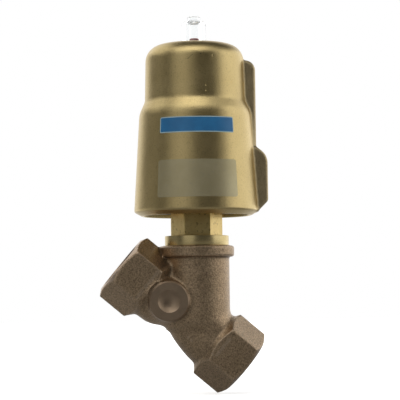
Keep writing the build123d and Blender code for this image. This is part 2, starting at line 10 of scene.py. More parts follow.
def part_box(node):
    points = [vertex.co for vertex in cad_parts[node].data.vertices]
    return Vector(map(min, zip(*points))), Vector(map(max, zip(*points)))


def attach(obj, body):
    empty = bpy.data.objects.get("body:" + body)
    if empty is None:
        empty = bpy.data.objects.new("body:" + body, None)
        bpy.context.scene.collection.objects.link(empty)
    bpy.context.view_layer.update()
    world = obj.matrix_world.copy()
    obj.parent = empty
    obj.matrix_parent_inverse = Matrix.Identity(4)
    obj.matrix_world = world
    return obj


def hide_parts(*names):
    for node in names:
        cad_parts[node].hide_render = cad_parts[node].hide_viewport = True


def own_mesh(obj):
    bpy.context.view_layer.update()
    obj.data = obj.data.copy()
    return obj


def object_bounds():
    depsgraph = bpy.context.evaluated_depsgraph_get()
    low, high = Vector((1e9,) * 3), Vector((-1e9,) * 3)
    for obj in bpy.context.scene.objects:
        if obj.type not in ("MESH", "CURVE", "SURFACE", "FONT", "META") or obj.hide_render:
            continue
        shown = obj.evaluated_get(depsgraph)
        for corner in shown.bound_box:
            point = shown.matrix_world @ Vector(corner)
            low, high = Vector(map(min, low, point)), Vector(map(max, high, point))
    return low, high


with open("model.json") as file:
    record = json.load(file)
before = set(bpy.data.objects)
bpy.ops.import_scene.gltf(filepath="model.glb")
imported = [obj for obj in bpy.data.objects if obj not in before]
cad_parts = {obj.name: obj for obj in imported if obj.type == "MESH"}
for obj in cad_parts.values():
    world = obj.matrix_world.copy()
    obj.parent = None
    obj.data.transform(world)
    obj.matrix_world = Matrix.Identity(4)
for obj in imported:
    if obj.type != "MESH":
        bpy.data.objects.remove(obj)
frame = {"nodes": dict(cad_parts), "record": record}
cad_low, cad_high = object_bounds()

# Valve body. One sand casting in red bronze: two port hexagons on a slanting pipe, the neck for the
# bonnet with its rim, and the bosses that it is clamped by. The casting keeps its sand grain, and
# the ports, the seat, the neck and the boss faces are machined into it. Sizes are in millimetres
# about the point where the stem axis crosses the pipe axis.
MM = 0.001
mounts = {mount["name"]: mount for mount in frame["record"]["mounts"]}
pipe_way = Vector(mounts["inlet_port"]["axis"])
pipe_rise = Vector((-pipe_way.z, 0, pipe_way.x))
stem_x = sum(corner.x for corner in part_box("bonnet")) / 2
crossing = Vector((stem_x, 0, stem_x * pipe_way.z / pipe_way.x))
inlet_reach = -stem_x / pipe_way.x / MM
outlet_reach = Vector(mounts["outlet_port"]["pos_m"]).length / MM - inlet_reach

port_hex_af = 32.0
port_hex_length = 18.9
port_hex_chamfer_r = 15.2
port_hex_chamfer_angle = radians(30)
port_hex_ease = 0.35
neck_r = 15.8
neck_foot_z = 1.0
neck_foot_ease = 3.5
body_top_z = 40.1
rim_r = 18.2
rim_height = 5.4
rim_ease = 1.4
outlet_horn_end = -11.9
inlet_horn_end = -10.7
horn_overlap = 0.5
outlet_horn_outline = ((15.3, 0.0), (13.8, 0.28), (12.6, 0.62), (10.3, 0.84), (8.7, 1.0))
inlet_horn_outline = ((14.2, 0.0), (14.2, 0.2), (13.6, 0.4), (12.4, 0.65), (9.6, 1.0))
clamp_boss_r = 9.6
clamp_boss_draft = 0.8
clamp_boss_reach = 17.0
clamp_boss_ease = 0.5
bend_place = -21.0
clamp_boss_x = -15.2
clamp_boss_z = 13.4
clamp_boss_chamfer = 0.6
clamp_dimple_r = 5.5
clamp_dimple_depth = 4.2
horn_fillet = 3.6
hexagon_fillet = 2.8
boss_fillet = 2.6
rim_fillet = 1.2
casting_mesh_size = 0.5
casting_low, casting_high = (-51, -19.5, -35.5), (37, 19.5, 46.5)
machining_allowance = 1.0


def blunt_max(a, b, ease):
    """Keeps what lies inside both shapes and blunts the edge between them."""
    near = np.clip(1 - np.abs(a - b) / ease, 0, 1)
    return np.maximum(a, b) + near * near * ease / 4


def fillet_min(a, b, fillet):
    """Joins two shapes and fills the corner between them."""
    near = np.clip(1 - np.abs(a - b) / fillet, 0, 1)
    return np.minimum(a, b) - near * near * fillet / 4


def port_hexagon(along, rise, side, inner, outer):
    """Distance outside the chamfered wrench hexagon between two places along the pipe."""
    from_pipe = np.hypot(rise, side)
    shape = np.abs(side) - port_hex_af / 2
    for turn in (radians(30), radians(150)):
        flat = np.abs(rise * cos(turn) + side * sin(turn)) - port_hex_af / 2
        shape = blunt_max(shape, flat, port_hex_ease)
    facing = 1 if outer > inner else -1
    for end, way, allowance in ((inner, -facing, 0), (outer, facing, machining_allowance)):
        chamfer = (from_pipe - port_hex_chamfer_r) * sin(port_hex_chamfer_angle)
        chamfer = chamfer + way * (along - end) * cos(port_hex_chamfer_angle)
        shape = blunt_max(shape, chamfer, port_hex_ease)
        shape = np.maximum(shape, way * (along - end) - allowance)
    return shape


def horn(along, from_pipe, outline, root, end):
    """Distance outside the tapering branch between a hexagon and the neck."""
    radii, shares = zip(*outline)
    share = np.clip((along - root) / (end - root), 0, 1)
    flank = np.polyval(np.polyfit(shares, radii, len(outline) - 1), share)
    way = 1 if end > root else -1
    ends = np.maximum(way * (along - end), way * (root - along))
    return np.maximum(from_pipe - flank, ends)


def casting(x, y, z):
    """Distance outside the rough casting, before anything is machined."""
    along = x * pipe_way.x + z * pipe_way.z
    rise = x * pipe_rise.x + z * pipe_rise.z
    from_pipe = np.hypot(rise, y)
    from_stem = np.hypot(x, y)
    outlet_root = port_hex_length - outlet_reach
    inlet_root = inlet_reach - port_hex_length
    shape = fillet_min(
        horn(along, from_pipe, outlet_horn_outline, outlet_root - horn_overlap, outlet_horn_end),
        horn(along, from_pipe, inlet_horn_outline, inlet_root + horn_overlap, inlet_horn_end),
        horn_fillet,
    )
    neck = blunt_max(from_stem - neck_r, neck_foot_z - z, neck_foot_ease)
    shape = fillet_min(shape, np.maximum(neck, z - body_top_z), horn_fillet)
    outlet_hexagon = port_hexagon(along, rise, y, outlet_root, -outlet_reach)
    inlet_hexagon = port_hexagon(along, rise, y, inlet_root, inlet_reach)
    shape = fillet_min(shape, np.minimum(outlet_hexagon, inlet_hexagon), hexagon_fillet)
    from_boss = np.hypot(x - clamp_boss_x, z - clamp_boss_z)
    boss = from_boss - clamp_boss_r - clamp_boss_draft * (1 - np.abs(y) / clamp_boss_reach)
    boss = blunt_max(boss, np.abs(y) - clamp_boss_reach - clamp_boss_ease, 2 * clamp_boss_ease)
    shape = fillet_min(shape, boss, boss_fillet)
    rim = blunt_max(from_stem - rim_r, body_top_z - rim_height - z, rim_ease)
    rim = blunt_max(rim, z - body_top_z, rim_ease)
    return fillet_min(shape, rim, rim_fillet)


def put_in_scene(name, data):
    """A new object of a mesh, a lamp or a camera, in the scene."""
    made = bpy.data.objects.new(name, data)
    bpy.context.scene.collection.objects.link(made)
    return made


def piece(name, points, faces):
    """A mesh object from points in millimetres about the crossing, its faces turned outwards."""
    mesh = bpy.data.meshes.new(name)
    mesh.from_pydata(np.asarray(points, float) * MM + np.array(crossing), [], faces)
    mesh.validate()
    made = put_in_scene(name, mesh)
    corners = np.array([vertex.co for vertex in mesh.vertices]) - np.array(crossing)
    mesh.calc_loop_triangles()
    a, b, c = (corners[[t.vertices[k] for t in mesh.loop_triangles]] for k in range(3))
    if np.einsum("ij,ij->", a, np.cross(b, c)) < 0:
        mesh.flip_normals()
    return made


def skin(name, shape, low, high, size):
    """The surface of a distance field as a fine mesh whose points lie on it."""
    ticks = [np.arange(a, b + size, size) for a, b in zip(low, high)]
    grid = openvdb.FloatGrid(size)
    grid.copyFromArray(shape(*np.meshgrid(*ticks, indexing="ij", sparse=True)))
    points, quads = grid.convertToQuads(0.0)
    points = np.asarray(points, float) * size + np.array(low)
    step = size / 10
    for _ in range(3):
        there = shape(*points.T)
        slope = np.stack([shape(*(points + step * way).T) - there for way in np.eye(3)], axis=1) / step
        points -= (there / np.maximum((slope**2).sum(axis=1), 0.2))[:, None] * slope
    return piece(name, points, np.asarray(quads).tolist())


def lathe(name, outline, steps=128):
    """A closed body of revolution about the stem axis, from (radius, height) points."""
    turns = np.arange(steps) * 2 * pi / steps
    points, rows = [], []
    for r, z in outline:
        round_it = turns if r > 0 else turns[:1]
        rows.append(list(range(len(points), len(points) + len(round_it))))
        points += [(r * cos(turn), r * sin(turn), z) for turn in round_it]
    faces = []
    for low, high in zip(rows, rows[1:] + rows[:1]):
        for k in range(steps):
            corners = [low[k % len(low)], low[(k + 1) % steps % len(low)]]
            corners += [high[(k + 1) % steps % len(high)], high[k % len(high)]]
            corners = list(dict.fromkeys(corners))
            if len(corners) > 2:
                faces.append(corners)
    return piece(name, points, faces)


def eased(outline, ease, steps=3):
    """An outline with each corner off the axis rounded a little, as a deburred edge is."""
    out = []
    for index, (r, z) in enumerate(outline):
        corner = Vector((r, z))
        before = Vector(outline[index - 1]) - corner
        after = Vector(outline[(index + 1) % len(outline)]) - corner
        if r == 0 or min(before.length, after.length) < 2.5 * ease:
            out.append((r, z))
            continue
        start, end = corner + before.normalized() * ease, corner + after.normalized() * ease
        for share in (k / steps for k in range(steps + 1)):
            bend = start.lerp(corner, share).lerp(corner.lerp(end, share), share)
            out.append((bend.x, bend.y))
    return out


def stepped(low, *steps):
    """The outline of a stepped shaft or bore, going up: each step's radius and its top."""
    outline = [(0, low)]
    for r, top in steps:
        outline += [(r, outline[-1][1]), (r, top)]
    return outline + [(0, outline[-1][1])]


def ring_faces(rows, steps):
    """Faces between rows of points that each go once round."""
    rings = [range(row * steps, (row + 1) * steps) for row in range(rows)]
    return [
        (low[k], low[(k + 1) % steps], high[(k + 1) % steps], high[k])
        for low, high in zip(rings, rings[1:])
        for k in range(steps)
    ]


thread_rows = 12
thread_flat = 0.12
thread_overrun = 0.6


def tapped_hole(name, minor_r, major_r, pitch, depth, mouth_r, steps=96):
    """A threaded hole as the solid that it removes, its mouth at height 0 and its end below."""
    heights = np.append(np.arange(thread_overrun, -depth, -pitch / thread_rows), -depth)
    turns = np.arange(steps) * 2 * pi / steps
    phase = (heights[:, None] / pitch - turns / (2 * pi)) % 1
    groove = np.clip((1 - np.abs(2 * phase - 1) - thread_flat) / (1 - 2 * thread_flat), 0, 1)
    runout = np.clip((heights + depth) / pitch, 0, 1)[:, None]
    radii = minor_r + (major_r - minor_r) * groove * runout
    mouth = np.minimum(mouth_r + heights, mouth_r + thread_overrun)
    radii = np.maximum(radii, mouth[:, None])
    points = [
        (r * cos(turn), r * sin(turn), height)
        for row, height in zip(radii, heights)
        for r, turn in zip(row, turns)
    ]
    faces = ring_faces(len(heights), steps)
    for first, height, way in ((0, heights[0], 1), (steps * (len(heights) - 1), heights[-1], -1)):
        centre = len(points)
        points.append((0, 0, height))
        faces += [(centre, first + (k + 1) % steps, first + k)[::way] for k in range(steps)]
    return piece(name, points, faces)


def point_along(made, way, start):
    """Turns a piece that was drawn up the stem axis another way, and sets it at a place."""
    turn = Vector((0, 0, 1)).rotation_difference(Vector(way)).to_matrix().to_4x4()
    move = Matrix.Translation(Vector(start) * MM)
    about = Matrix.Translation(crossing)
    made.data.transform(about @ move @ turn @ about.inverted())
    return made


def shape_with(target, tools, operation="DIFFERENCE"):
    """Cuts closed tools from a piece, or joins them to it, and uses the tools up."""
    for tool in tools:
        step = target.modifiers.new(tool.name, "BOOLEAN")
        step.solver, step.operation, step.object = "MANIFOLD", operation, tool
    bpy.context.view_layer.update()
    shown = target.evaluated_get(bpy.context.evaluated_depsgraph_get())
    shaped = bpy.data.meshes.new_from_object(shown)
    target.modifiers.clear()
    target.data = shaped
    for tool in tools:
        bpy.data.objects.remove(tool)
    return target


def smooth(made, angle=radians(32)):
    """Smooth shading, with the edges sharper than an angle kept crisp."""
    made.data.shade_smooth()
    made.data.set_sharp_from_angle(angle=angle)
    return made


chamber_r = 12.4
chamber_floor_z = 4.0
seat_r = 9.0
seat_lip_wall = 1.6
seat_z = 6.0
bonnet_thread_r = 13.5
gasket_low_z = 25.4
passage_r = 9.5
cross_passage_r = 8.5
inlet_bend_reach = 1.0
port_minor_r = 12.06
port_major_r = 13.22
port_pitch = 1.814
port_depth = 16.0
port_mouth_r = 13.6
passage_steps = 96
bend_steps = 24
boss_clearance = 0.3
facing_ledge = 1.0
facing_flare = 4.0
dimple_ease = 0.6


def passage(name, r, start, way, length):
    """A plain round passage as the solid that it removes."""
    return point_along(lathe(name, stepped(0, (r, length)), passage_steps), way, start)


body = skin("valve_body_casting", casting, casting_low, casting_high, casting_mesh_size)
bend = pipe_way * bend_place
outlet_face, inlet_face = -pipe_way * outlet_reach, pipe_way * inlet_reach
chamber = stepped(
    neck_foot_z - seat_r / 2,
    (seat_r, seat_z),
    (seat_r + seat_lip_wall, chamber_floor_z),
    (chamber_r, gasket_low_z),
    (bonnet_thread_r, body_top_z + 1),
)
turns = [k * pi / bend_steps for k in range(bend_steps + 1)]
ball = [(passage_r * sin(turn), -passage_r * cos(turn)) for turn in turns]
ball[0], ball[-1] = (0, -passage_r), (0, passage_r)
tools = [
    passage("outlet_facing", 2 * rim_r, outlet_face, -pipe_way, 2 * machining_allowance),
    passage("inlet_facing", 2 * rim_r, inlet_face, pipe_way, 2 * machining_allowance),
    lathe("chamber", chamber),
    passage("cross_passage", cross_passage_r, bend, (1, 0, 0), -bend.x),
    passage("outlet_passage", passage_r, bend, -pipe_way, outlet_reach - bend.length),
    passage("inlet_passage", passage_r, pipe_way * inlet_bend_reach, pipe_way, inlet_reach),
    point_along(lathe("outlet_bend", ball, passage_steps), (0, 0, 1), bend),
    point_along(lathe("inlet_bend", ball, passage_steps), (0, 0, 1), pipe_way * inlet_bend_reach),
]
for name, face, way in (("outlet", outlet_face, -pipe_way), ("inlet", inlet_face, pipe_way)):
    thread = tapped_hole(name + "_thread", port_minor_r, port_major_r, port_pitch, port_depth, port_mouth_r)
    tools.append(point_along(thread, way, face))
dimple_outline = (
    (0, -clamp_dimple_depth),
    (clamp_dimple_r, 0),
    (clamp_dimple_r + boss_clearance, boss_clearance),
    (0, boss_clearance),
)
facing_outline = (
    (0, 0),
    (clamp_boss_r - clamp_boss_chamfer, 0),
    (clamp_boss_r + boss_clearance, -clamp_boss_chamfer - boss_clearance),
    (clamp_boss_r + facing_ledge, -clamp_boss_chamfer - boss_clearance),
    (clamp_boss_r + facing_flare, 2 * machining_allowance),
    (0, 2 * machining_allowance),
)
for side in (-1, 1):
    mouth = Vector((clamp_boss_x, side * clamp_boss_reach, clamp_boss_z))
    for name, outline in (("boss_facing", facing_outline), ("dimple", eased(dimple_outline, dimple_ease))):
        tools.append(point_along(lathe(name, outline, passage_steps), (0, side, 0), mouth))
shape_with(body, tools)


def add_node(tree, kind, inputs=None, **options):
    """A shader node with its options, and for each input its value or the socket that feeds it."""
    made = tree.nodes.new("ShaderNode" + kind)
    for option, value in options.items():
        setattr(made, option, value)
    for label, value in (inputs or {}).items():
        if isinstance(value, bpy.types.NodeSocket):
            tree.links.new(value, made.inputs[label])
        else:
            made.inputs[label].default_value = value
    return made


def calculate(tree, operation, *terms, clamp=False):
    """The result socket of one sum on values or sockets."""
    terms = dict(enumerate(terms))
    return add_node(tree, "Math", terms, operation=operation, use_clamp=clamp).outputs[0]


def spread(tree, source, low, high, to_low=0.0, to_high=1.0):
    """Stretches a value's range, without going past its ends."""
    return add_node(tree, "MapRange", {0: source, 1: low, 2: high, 3: to_low, 4: to_high}).outputs[0]


def blend_colours(tree, share, first, second):
    """Goes from the first colour to the second as share goes from 0 to 1."""
    ends = {6: first, 7: second}
    for label, colour in ends.items():
        if not isinstance(colour, bpy.types.NodeSocket):
            ends[label] = (*colour, 1)
    return add_node(tree, "Mix", {0: share, **ends}, data_type="RGBA").outputs[2]


def lay_over(tree, colour, mask, share, shade):
    """Lets a shade show over a colour, by a share of a mask."""
    return blend_colours(tree, calculate(tree, "MULTIPLY", mask, share), colour, shade)


def vector_sum(tree, operation, terms):
    """The result socket of one sum on vectors, from its sockets and what feeds them."""
    made = add_node(tree, "VectorMath", terms, operation=operation)
    return made.outputs["Value" if operation in ("DOT_PRODUCT", "DISTANCE", "LENGTH") else "Vector"]


def effect(name, inputs, outputs):
    """An empty shader group with its named inputs and outputs."""
    tree = bpy.data.node_groups.new(name, "ShaderNodeTree")
    for label, kind, value in inputs:
        socket = tree.interface.new_socket(label, in_out="INPUT", socket_type="NodeSocket" + kind)
        socket.default_value = value
    for label in outputs:
        tree.interface.new_socket(label, in_out="OUTPUT", socket_type="NodeSocketFloat")
    return tree, tree.nodes.new("NodeGroupInput").outputs, tree.nodes.new("NodeGroupOutput").inputs


def use_effect(tree, group, **values):
    """Places an effect in a material with its own values, and returns its outputs."""
    made = tree.nodes.new("ShaderNodeGroup")
    made.node_tree = group
    for label, value in values.items():
        made.inputs[label.replace("_", " ")].default_value = value
    return made.outputs


def surface(name, **fixed):
    """A material with its node tree and its main shader."""
    made = bpy.data.materials.new(name)
    made.use_nodes = True
    shader = made.node_tree.nodes["Principled BSDF"]
    for label, value in fixed.items():
        shader.inputs[label.replace("_", " ")].default_value = value
    return made, made.node_tree, shader


def dress(tree, shader, colour, gloss, roughness, height, depth):
    """Feeds the main shader a colour, a range of roughness, and a bump of a depth in metres."""
    tree.links.new(colour, shader.inputs["Base Color"])
    tree.links.new(spread(tree, gloss, 0, 1, *roughness), shader.inputs["Roughness"])
    bump = add_node(tree, "Bump", {"Strength": 1.0, "Distance": depth, "Height": height})
    tree.links.new(bump.outputs[0], shader.inputs["Normal"])


# grain: sand or blasting grain of a size in metres, with slow patches under it
grain, inside, out = effect(
    "grain", (("Size", "Float", 0.0006), ("Patch Size", "Float", 0.006)), ("Height", "Patches", "Specks")
)
place = add_node(grain, "TexCoord").outputs["Object"]
for label, size, detail, finer, low, high in (
    ("Height", "Size", 4, 1.0, 0.25, 0.75),
    ("Patches", "Patch Size", 5, 1.0, 0.25, 0.75),
    ("Specks", "Size", 1, 0.6, 0.6, 0.72),
):
    scale = calculate(grain, "DIVIDE", finer, inside[size])
    feeds = {"Vector": place, "Scale": scale, "Detail": detail, "Roughness": 0.6}
    noise = add_node(grain, "TexNoise", feeds)
    grain.links.new(spread(grain, noise.outputs[0], low, high), out[label])

# edge wear and painted light: a convex edge mask, partly real wear and partly a painted highlight, and an
# inner corner mask for a painted shade, each broken up by a noise
wear_and_painted_light, inside, out = effect(
    "edge_wear_and_painted_light", (("Reach", "Float", 0.06), ("Size", "Float", 0.002)), ("Wear And Painted Highlight", "Painted Crevice Shade")
)
place = add_node(wear_and_painted_light, "TexCoord").outputs["Object"]
scale = calculate(wear_and_painted_light, "DIVIDE", 1.0, inside["Size"])
noise = add_node(wear_and_painted_light, "TexNoise", {"Vector": place, "Scale": scale, "Detail": 3.0})
bend_of = add_node(wear_and_painted_light, "NewGeometry").outputs["Pointiness"]
off = calculate(wear_and_painted_light, "DIVIDE", calculate(wear_and_painted_light, "SUBTRACT", bend_of, 0.5), inside["Reach"])
ragged = spread(wear_and_painted_light, noise.outputs[0], 0.3, 0.7, 0.35, 1.3)
wear_and_painted_light.links.new(calculate(wear_and_painted_light, "MULTIPLY", off, ragged, clamp=True), out["Wear And Painted Highlight"])
wear_and_painted_light.links.new(calculate(wear_and_painted_light, "MULTIPLY", off, -1.0, clamp=True), out["Painted Crevice Shade"])

# turning marks: the fine rings that a tool leaves about an axis
marks, inside, out = effect(
    "turning_marks",
    (("Centre", "Vector", (0, 0, 0)), ("Axis", "Vector", (0, 0, 1)), ("Pitch", "Float", 0.0003)),
    ("Height", "Rings"),
)
place = add_node(marks, "TexCoord").outputs["Object"]
from_centre = vector_sum(marks, "SUBTRACT", {0: place, 1: inside["Centre"]})
along = vector_sum(marks, "DOT_PRODUCT", {0: from_centre, 1: inside["Axis"]})
axial = vector_sum(marks, "SCALE", {0: inside["Axis"], "Scale": along})
radial = vector_sum(marks, "DISTANCE", {0: from_centre, 1: axial})
travel = calculate(marks, "ADD", along, radial)
travel = calculate(marks, "DIVIDE", travel, inside["Pitch"])
feeds = {"W": travel, "Scale": 1.0, "Detail": 4.0, "Roughness": 0.7}
noise = add_node(marks, "TexNoise", feeds, noise_dimensions="1D")
marks.links.new(noise.outputs[0], out["Height"])
marks.links.new(spread(marks, noise.outputs[0], 0.35, 0.65), out["Rings"])

cast_bronze, tree, shader = surface("cast_bronze", Metallic=0.9)
rough = use_effect(tree, grain, Size=0.0007, Patch_Size=0.009)
edge_wear_and_light = use_effect(tree, wear_and_painted_light, Reach=0.05, Size=0.0015)
colour = blend_colours(tree, rough["Patches"], (0.53, 0.382, 0.232), (0.66, 0.48, 0.303))
open_grain = spread(tree, rough["Height"], 0.2, 0.8, 0.28, 1.0)
colour = blend_colours(tree, open_grain, (0.15, 0.105, 0.065), colour)
colour = lay_over(tree, colour, rough["Specks"], 0.4, (0.13, 0.095, 0.065))
# convex edges lightened, partly as wear and partly as a painted highlight; inner corners darkened as a
# painted shade in the crevices
colour = lay_over(tree, colour, edge_wear_and_light["Wear And Painted Highlight"], 0.3, (0.70, 0.55, 0.40))
colour = lay_over(tree, colour, edge_wear_and_light["Painted Crevice Shade"], 0.7, (0.10, 0.07, 0.045))
dress(tree, shader, colour, rough["Height"], (0.26, 0.38), rough["Height"], 0.00012)


def machined(name, base, pitch, roughness, depth, centre=crossing, axis=(0, 0, 1)):
    """Metal that was turned about an axis, with fine rings that catch the light."""
    made, tree, shader = surface(name, Metallic=1.0)
    rings = use_effect(tree, marks, Centre=centre, Axis=axis, Pitch=pitch)
    stains = use_effect(tree, grain, Size=0.0004, Patch_Size=0.005)
    darker = tuple(0.8 * part for part in base)
    colour = blend_colours(tree, stains["Patches"], darker, base)
    dress(tree, shader, colour, rings["Rings"], roughness, rings["Height"], depth)
    return made


bare_bronze = (0.62, 0.47, 0.34)
boss_bronze = (0.51, 0.38, 0.26)
pipe_cut = machined("machined_bronze", bare_bronze, 0.0006, (0.22, 0.36), 0.00001, axis=pipe_way)
boss_place = crossing + Vector((clamp_boss_x, 0, clamp_boss_z)) * MM
boss_cut = machined("boss_face_bronze", boss_bronze, 0.0008, (0.42, 0.54), 0.00001, boss_place, (0, 1, 0))
seat_cut = machined("seat_bronze", bare_bronze, 0.0005, (0.22, 0.36), 0.00001)


def by_region(made, materials, choose):
    """Gives each face the material that a rule picks from its centre, in millimetres."""
    made.data.materials.clear()
    for material in materials:
        made.data.materials.append(material)
    centres = np.array([face.center for face in made.data.polygons])
    picks = choose(*((centres - np.array(crossing)) / MM).T)
    made.data.polygons.foreach_set("material_index", picks.astype(np.int32))
    return made


on_face = 0.01


def body_region(x, y, z):
    """0 for the cast skin, 1 for the ports, 2 for the boss faces and 3 for the seat and neck."""
    along = x * pipe_way.x + z * pipe_way.z
    from_pipe = np.hypot(x * pipe_rise.x + z * pipe_rise.z, y)
    past_face = np.maximum(along - inlet_reach, -along - outlet_reach)
    chamfer = (from_pipe - port_hex_chamfer_r) * sin(port_hex_chamfer_angle)
    chamfered = chamfer + past_face * cos(port_hex_chamfer_angle) > -0.04
    threaded = (past_face > -port_depth - on_face) & (from_pipe < port_mouth_r)
    at_port = (past_face > -on_face) | chamfered | threaded | (from_pipe < passage_r + 0.1)
    from_stem = np.hypot(x, y)
    in_neck = (from_stem < bonnet_thread_r + 0.1) & (z > neck_foot_z)
    at_stem = in_neck | ((z > body_top_z - on_face) & (from_stem < rim_r))
    from_boss = np.hypot(x - clamp_boss_x, z - clamp_boss_z)
    on_chamfer = from_boss > clamp_boss_r - clamp_boss_chamfer
    boss_depth = np.where(on_chamfer, clamp_boss_chamfer + 0.1, on_face)
    boss_face = (np.abs(y) > clamp_boss_reach - boss_depth) & (from_boss < clamp_boss_r + 0.05)
    dimple = (from_boss < clamp_dimple_r) & (np.abs(y) > clamp_boss_reach / 2)
    return np.where(boss_face | dimple, 2, np.where(at_port & ~at_stem, 1, np.where(at_stem, 3, 0)))


smooth(by_region(body, (cast_bronze, pipe_cut, boss_cut, seat_cut), body_region))
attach(body, "valve")
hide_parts("valve_body")

# Bonnet. Turned from brass hexagon bar: the nose and thread that screw into the neck, the collar
# that closes it, the wrench hexagon, and the disc that the actuator turns on.
collar_r = 15.65
collar_top_z = 45.0
neck_hex_af = 22.0
neck_hex_ease = 0.25
neck_hex_turn = radians(-4.4)
turned_ease = 0.3
bar_overlap = 0.5
disc_low_z = 57.9
disc_top_z = 62.9
disc_r = 25.85
disc_groove_depth = 1.95
disc_groove_half = 1.0
nose_low_z = 24.3
gasket_top_z = 26.0
nose_r = chamber_r - 0.3
thread_r = bonnet_thread_r - 0.05
packing_r = 7.5
packing_top_z = 46.0
shaft_clearance_r = 4.3
bush_r = 5.5
bush_low_z = 50.0
rod_seal_r = 6.5
rod_seal_low_z = 59.0


def prism(name, outline, low_z, high_z):
    """A straight bar from its outline as seen from above."""
    count = len(outline)
    points = [(x, y, z) for z in (low_z, high_z) for x, y in outline]
    ends = [tuple(range(count))[::-1], tuple(range(count, 2 * count))]
    return piece(name, points, ends + ring_faces(2, count))


def hexagon(across_flats, ease):
    """A hexagon with blunted corners, two of its sides facing the front and the back."""
    corner_r = across_flats / sqrt(3)
    swing = ease / corner_r
    beside = (across_flats / 2) / cos(pi / 6 - swing)
    blunt = ((beside, -swing), (corner_r - ease / 3, 0), (beside, swing))
    turns = [neck_hex_turn + k * pi / 3 for k in range(6)]
    return [(r * cos(turn + way), r * sin(turn + way)) for turn in turns for r, way in blunt]


groove_z = (disc_low_z + disc_top_z) / 2
shank = stepped(nose_low_z, (nose_r, gasket_top_z), (thread_r, body_top_z), (collar_r, collar_top_z))
disc = stepped(
    disc_low_z,
    (disc_r, groove_z - disc_groove_half),
    (disc_r - disc_groove_depth, groove_z + disc_groove_half),
    (disc_r, disc_top_z),
)
stem_bore = stepped(
    nose_low_z - 1,
    (packing_r, packing_top_z),
    (shaft_clearance_r, bush_low_z),
    (bush_r, rod_seal_low_z),
    (rod_seal_r, disc_top_z + 1),
)
bonnet = lathe("bonnet_turned", eased(shank, turned_ease), 192)
flats = hexagon(neck_hex_af, neck_hex_ease)
bar = prism("wrench_bar", flats, collar_top_z - bar_overlap, disc_low_z + bar_overlap)
shape_with(bonnet, [bar, lathe("disc", eased(disc, turned_ease), 192)], "UNION")
shape_with(bonnet, [lathe("stem_bore", stem_bore)])

brass = (0.80, 0.64, 0.31)
bar_brass, tree, shader = surface("drawn_brass_bar", Metallic=1.0)
stains = use_effect(tree, grain, Size=0.0009, Patch_Size=0.004)
edge_wear_and_light = use_effect(tree, wear_and_painted_light, Reach=0.08, Size=0.001)
colour = blend_colours(tree, stains["Patches"], (0.66, 0.48, 0.18), (0.79, 0.61, 0.26))
colour = lay_over(tree, colour, stains["Specks"], 0.5, (0.22, 0.14, 0.05))
# convex edges lightened, partly as wear and partly as a painted highlight
colour = lay_over(tree, colour, edge_wear_and_light["Wear And Painted Highlight"], 0.6, (0.92, 0.82, 0.55))
dress(tree, shader, colour, stains["Height"], (0.27, 0.37), stains["Height"], 0.00003)
turned_brass = machined("turned_brass", brass, 0.0003, (0.26, 0.34), 0.000003)


def bonnet_region(x, y, z):
    """0 for the turned faces and 1 for the flats of the bar."""
    from_middle = np.abs(z - (collar_top_z + disc_low_z) / 2)
    return (from_middle < (disc_low_z - collar_top_z) / 2 - 0.05).astype(int)


smooth(by_region(bonnet, (turned_brass, bar_brass), bonnet_region), radians(25))
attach(bonnet, "valve")
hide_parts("bonnet")

# Actuator housing. One drafted brass casting, turned outside and then bead blasted: a wide skirt
# for the piston, a narrower crown for the springs, and on one side the block of the air ports and
# the rib with the vent channel, both left as cast. It turns on the bonnet's disc.
housing_foot_z = 54.8
foot_land_r = 26.8
foot_r = 30.5
foot_bevel_z = 56.9
shoulder_low = (27.5, 105.0)
shoulder_high = (24.7, 111.2)
crown_r = 24.0
crown_round = 8.0
housing_top_z = 139.0
foot_ease = 0.7
skirt_ease = 0.8
skirt_overlap = 7
root_depth = 3
shoulder_fillet = 0.5
port_block_reach = 34.6
port_block_width = 18.0
port_block_low_z = 56.9
port_block_bevel = 4.8
port_block_shoulder_z = 84.0
port_block_top_z = 88.0
port_block_ease = 1.6
rib_reach = 29.4
rib_width = 14.0
rib_top_z = 131.0
rib_top_round = 5.0
rib_ease = 2.0
root_fillet = 1.3
draft = 0.02
housing_mesh_size = 0.53
housing_low, housing_high = (-32, -32, 53.5), (36.2, 32, 140.5)


def outside_line(r, z, start, end):
    """Distance to the outer side of a line in the turned section, going up from start to end."""
    run, rise = end[0] - start[0], end[1] - start[1]
    length = sqrt(run * run + rise * rise)
    return ((r - start[0]) * rise - (z - start[1]) * run) / length


def round_max(a, b, radius):
    """Keeps what lies inside both shapes, with an arc of a radius for the edge between them."""
    corner = np.hypot(np.maximum(a + radius, 0), np.maximum(b + radius, 0)) - radius
    return np.where((a > -radius) & (b > -radius), corner, np.maximum(a, b))


def turned_wall(r, z):
    """Distance outside the turned surface of the housing."""
    skirt = outside_line(r, z, (foot_land_r, housing_foot_z), (foot_r, foot_bevel_z))
    skirt = blunt_max(skirt, outside_line(r, z, (foot_r, foot_bevel_z), shoulder_low), foot_ease)
    skirt = blunt_max(skirt, outside_line(r, z, shoulder_low, shoulder_high), skirt_ease)
    skirt = np.maximum(skirt, np.maximum(housing_foot_z - z, z - shoulder_high[1] - skirt_overlap))
    crown = outside_line(r, z, shoulder_high, (crown_r, housing_top_z))
    return fillet_min(skirt, round_max(crown, z - housing_top_z, crown_round), shoulder_fillet)


